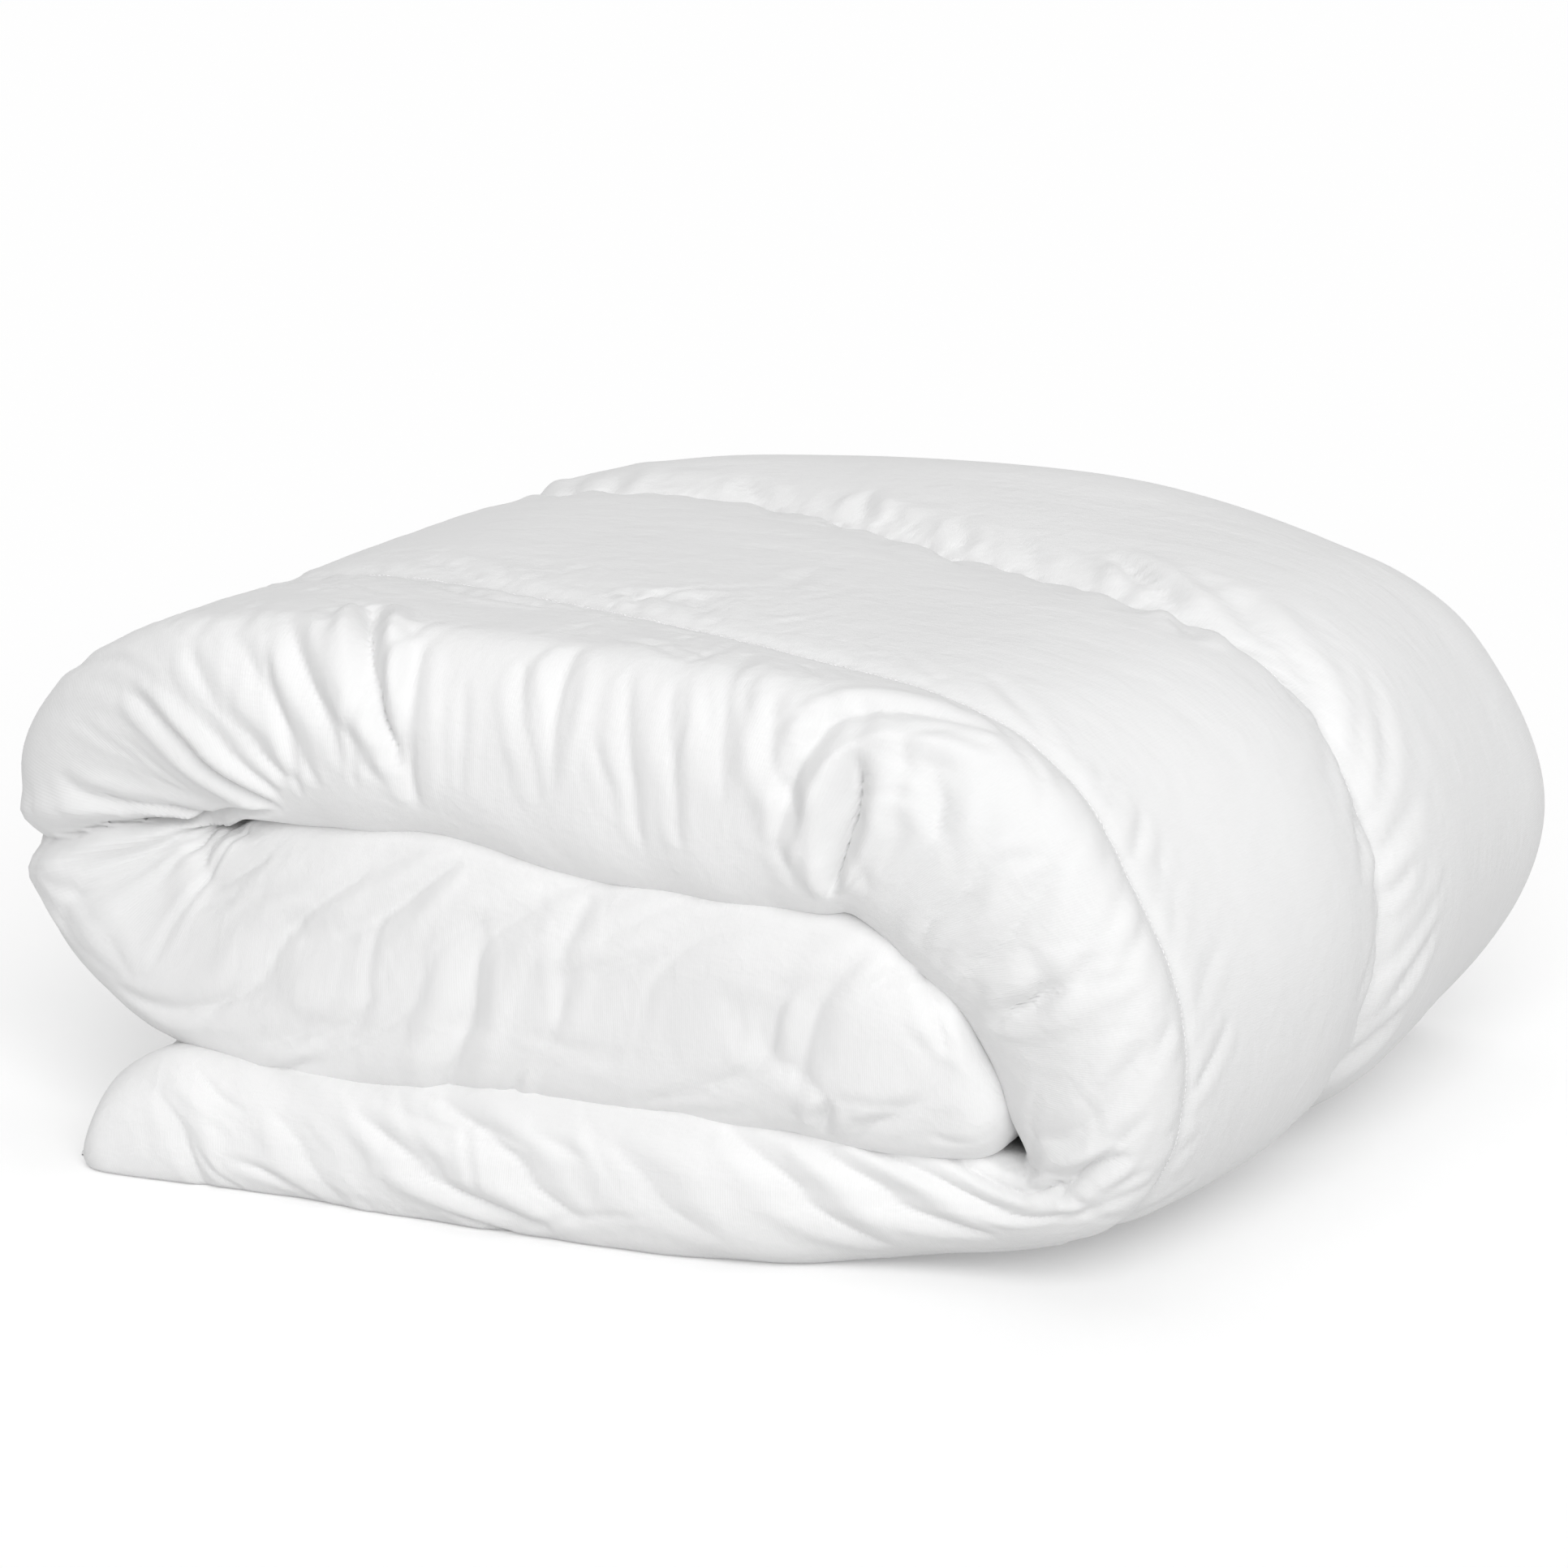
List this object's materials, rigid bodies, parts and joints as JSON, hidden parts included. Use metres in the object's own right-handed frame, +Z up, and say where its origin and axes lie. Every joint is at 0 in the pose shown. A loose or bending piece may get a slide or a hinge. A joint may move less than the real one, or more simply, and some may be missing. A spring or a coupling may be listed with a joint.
{
  "type": "duvet",
  "caption": "White channel-quilted down duvet, folded in half and then in thirds into a thick soft bundle with a rounded fold at one side",
  "frame": {"origin": "centre of the folded bundle's footprint, on its underside", "axes": "+X along the front fold towards the rounded side fold, +Y from the front fold to the open sewn edges, +Z up"},
  "size_m": [0.71, 0.6, 0.304],
  "materials": {
    "cotton_shell": "smooth tightly woven down-proof cotton, faint sheen",
    "down_fill": "loose feather and down",
    "hem_tape": "folded and stitched cotton edge"
  },
  "bodies": {
    "base": {"baffle_front_base_lower": "cotton_shell", "baffle_front_base_upper": "cotton_shell", "baffle_rear_base_lower": "cotton_shell", "baffle_rear_base_upper": "cotton_shell", "edge_hem_base_lower": "hem_tape", "edge_hem_base_upper": "hem_tape", "end_hem_start": "hem_tape", "fill_front_base": "down_fill", "fill_mid_base_lower": "down_fill", "fill_mid_base_upper": "down_fill", "fill_rear_base_lower": "down_fill", "fill_rear_base_upper": "down_fill", "inner_panel_base": "cotton_shell", "outer_panel_base": "cotton_shell"},
    "side": {"baffle_front_side_lower": "cotton_shell", "baffle_front_side_upper": "cotton_shell", "baffle_rear_side_lower": "cotton_shell", "baffle_rear_side_upper": "cotton_shell", "edge_hem_side_lower": "hem_tape", "edge_hem_side_upper": "hem_tape", "fill_front_side": "down_fill", "fill_mid_side_lower": "down_fill", "fill_mid_side_upper": "down_fill", "fill_rear_side_lower": "down_fill", "fill_rear_side_upper": "down_fill", "inner_panel_side": "cotton_shell", "outer_panel_side": "cotton_shell"},
    "flap": {"baffle_front_flap_lower": "cotton_shell", "baffle_front_flap_upper": "cotton_shell", "baffle_rear_flap_lower": "cotton_shell", "baffle_rear_flap_upper": "cotton_shell", "edge_hem_flap_lower": "hem_tape", "edge_hem_flap_upper": "hem_tape", "end_hem_finish": "hem_tape", "fill_front_flap": "down_fill", "fill_mid_flap_lower": "down_fill", "fill_mid_flap_upper": "down_fill", "fill_rear_flap_lower": "down_fill", "fill_rear_flap_upper": "down_fill", "inner_panel_flap": "cotton_shell", "outer_panel_flap": "cotton_shell"}
  },
  "joints": [
    {"name": "side_roll_out", "type": "hinge", "parent": "base", "child": "side", "pos_m": [0.31048, 0, 0.04452], "axis": [0, 1, 0], "range_deg": [0, 90]},
    {"name": "top_fold_over", "type": "hinge", "parent": "side", "child": "flap", "pos_m": [0.31048, 0, 0.25948], "axis": [0, 1, 0], "range_deg": [0, 90]}
  ]
}
